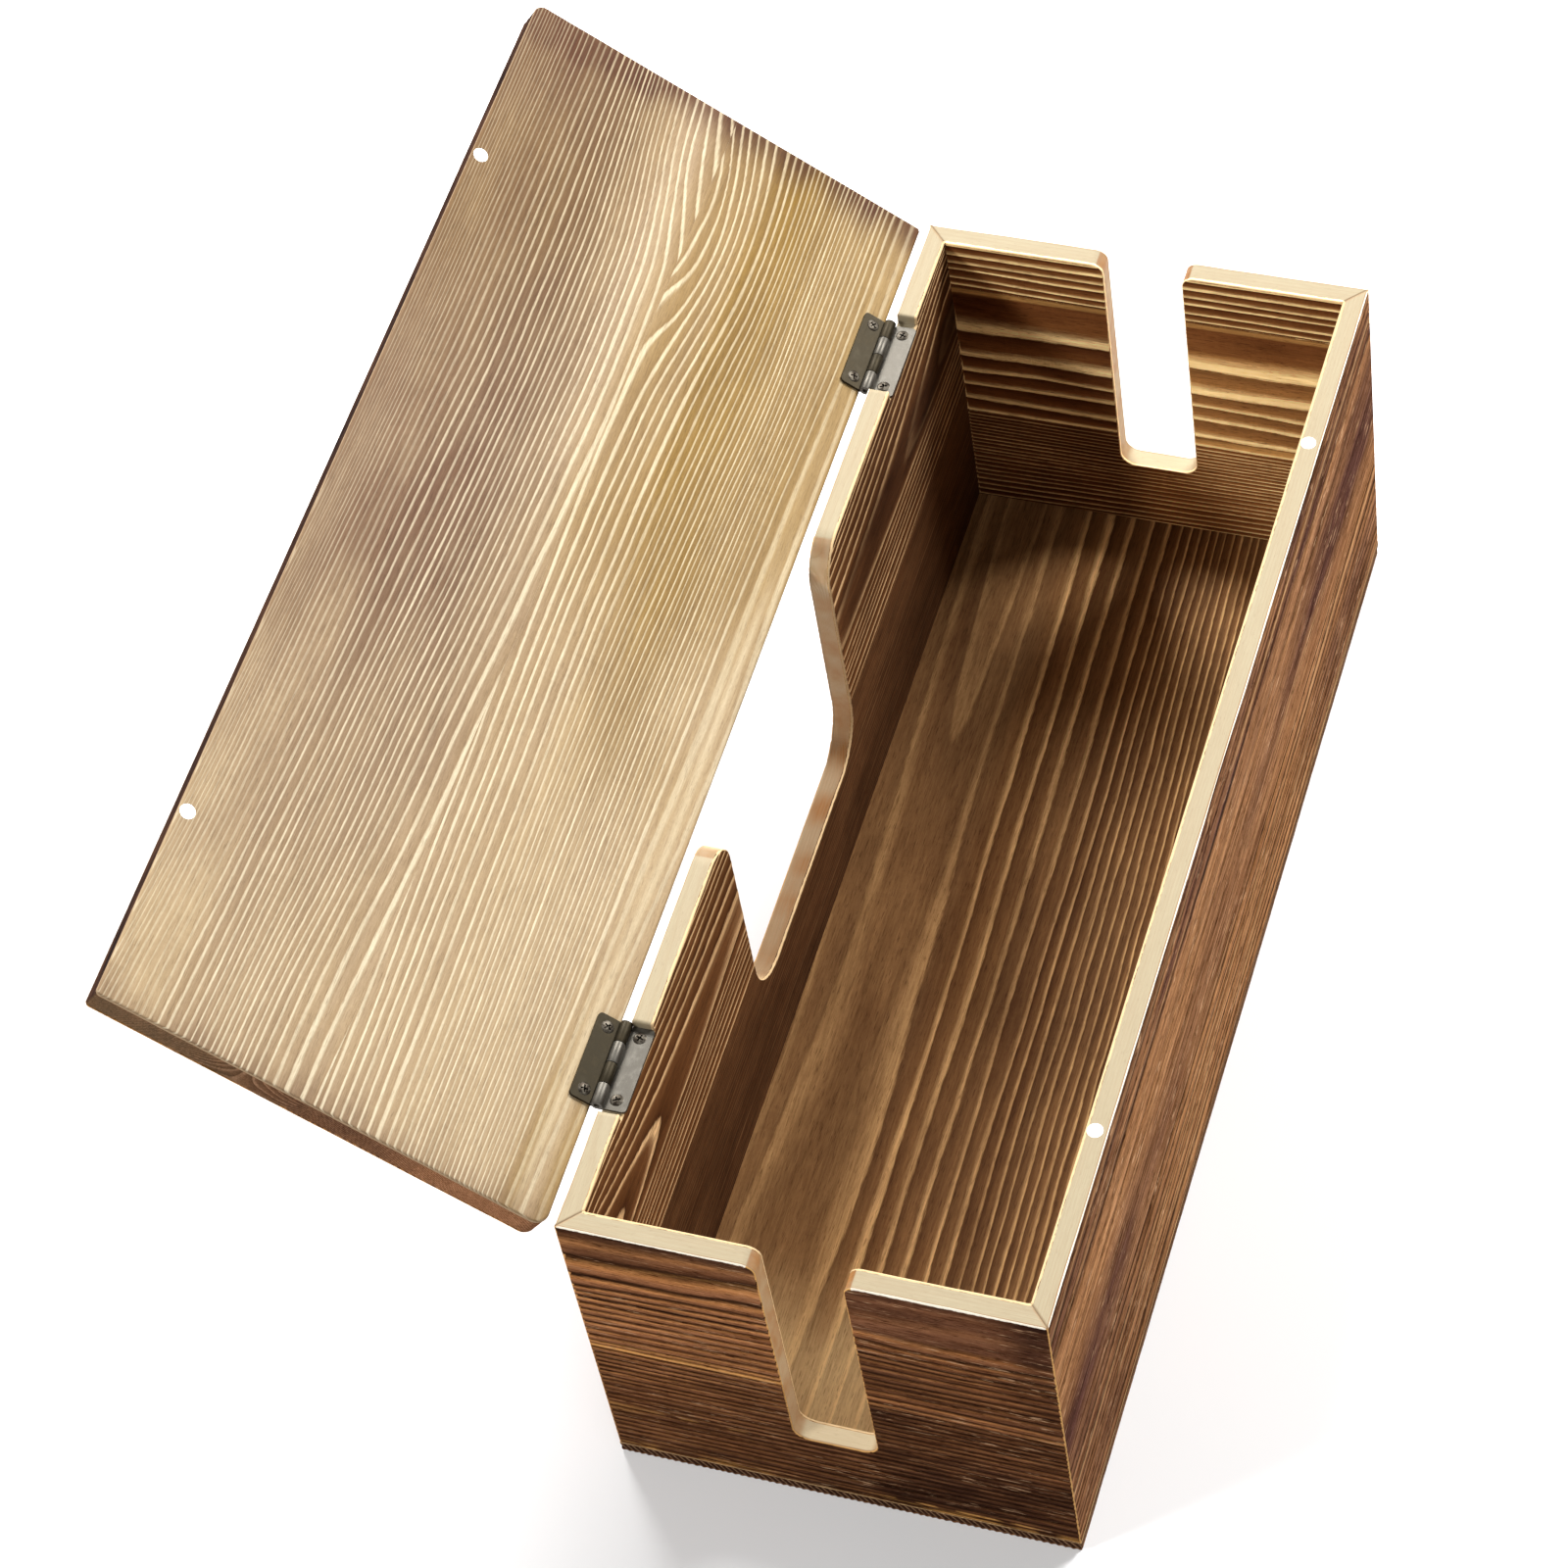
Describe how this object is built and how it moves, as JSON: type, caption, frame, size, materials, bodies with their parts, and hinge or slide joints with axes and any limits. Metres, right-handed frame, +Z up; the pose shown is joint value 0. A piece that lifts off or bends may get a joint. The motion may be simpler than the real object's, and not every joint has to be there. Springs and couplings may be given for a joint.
{
  "type": "cable management box",
  "caption": "Long wooden box with a hinged lid that hides a power strip; leads leave through slots in the end walls and a wide cut-out in the back wall.",
  "frame": {"origin": "centre of the underside of the bottom board, on the surface the box stands on", "axes": "+Z up; X along the length with the left end wall at -X; -Y is the front wall with the magnets; +Y is the back wall with the hinges and the wide cut-out"},
  "size_m": [0.368, 0.2603, 0.2032],
  "materials": {
    "wall_wood": "scorched and wire-brushed softwood, raw cream sanded rim",
    "floor_wood": "scorched and wire-brushed softwood board",
    "lid_wood": "lightly scorched, wire-brushed softwood with raised pale grain lines",
    "hinge_bronze": "antique bronze plating, satin",
    "pin_steel": "drawn wire",
    "screw_bronze": "antique bronze plating, worn on the rim of the recess",
    "magnet_nickel": "bright nickel plating",
    "brad_steel": "bright wire brad, set below the surface and filled"
  },
  "bodies": {
    "box": {"bottom_panel": "floor_wood", "front_wall": "wall_wood", "back_wall": "wall_wood", "left_end_wall": "wall_wood", "right_end_wall": "wall_wood", "left_hinge_box_leaf": "hinge_bronze", "left_hinge_pin": "pin_steel", "left_hinge_box_screws": "screw_bronze", "right_hinge_box_leaf": "hinge_bronze", "right_hinge_pin": "pin_steel", "right_hinge_box_screws": "screw_bronze", "rim_magnet_left": "magnet_nickel", "rim_magnet_right": "magnet_nickel", "corner_brads": "brad_steel", "floor_brads": "brad_steel"},
    "lid": {"lid_panel": "lid_wood", "left_hinge_lid_leaf": "hinge_bronze", "left_hinge_lid_screws": "screw_bronze", "right_hinge_lid_leaf": "hinge_bronze", "right_hinge_lid_screws": "screw_bronze", "lid_magnet_left": "magnet_nickel", "lid_magnet_right": "magnet_nickel"}
  },
  "joints": [
    {"name": "lid_hinge", "type": "hinge", "parent": "box", "child": "lid", "pos_m": [0, 0.0705, 0.12605], "axis": [-1, 0, 0], "range_deg": [-145.4, 32]}
  ]
}
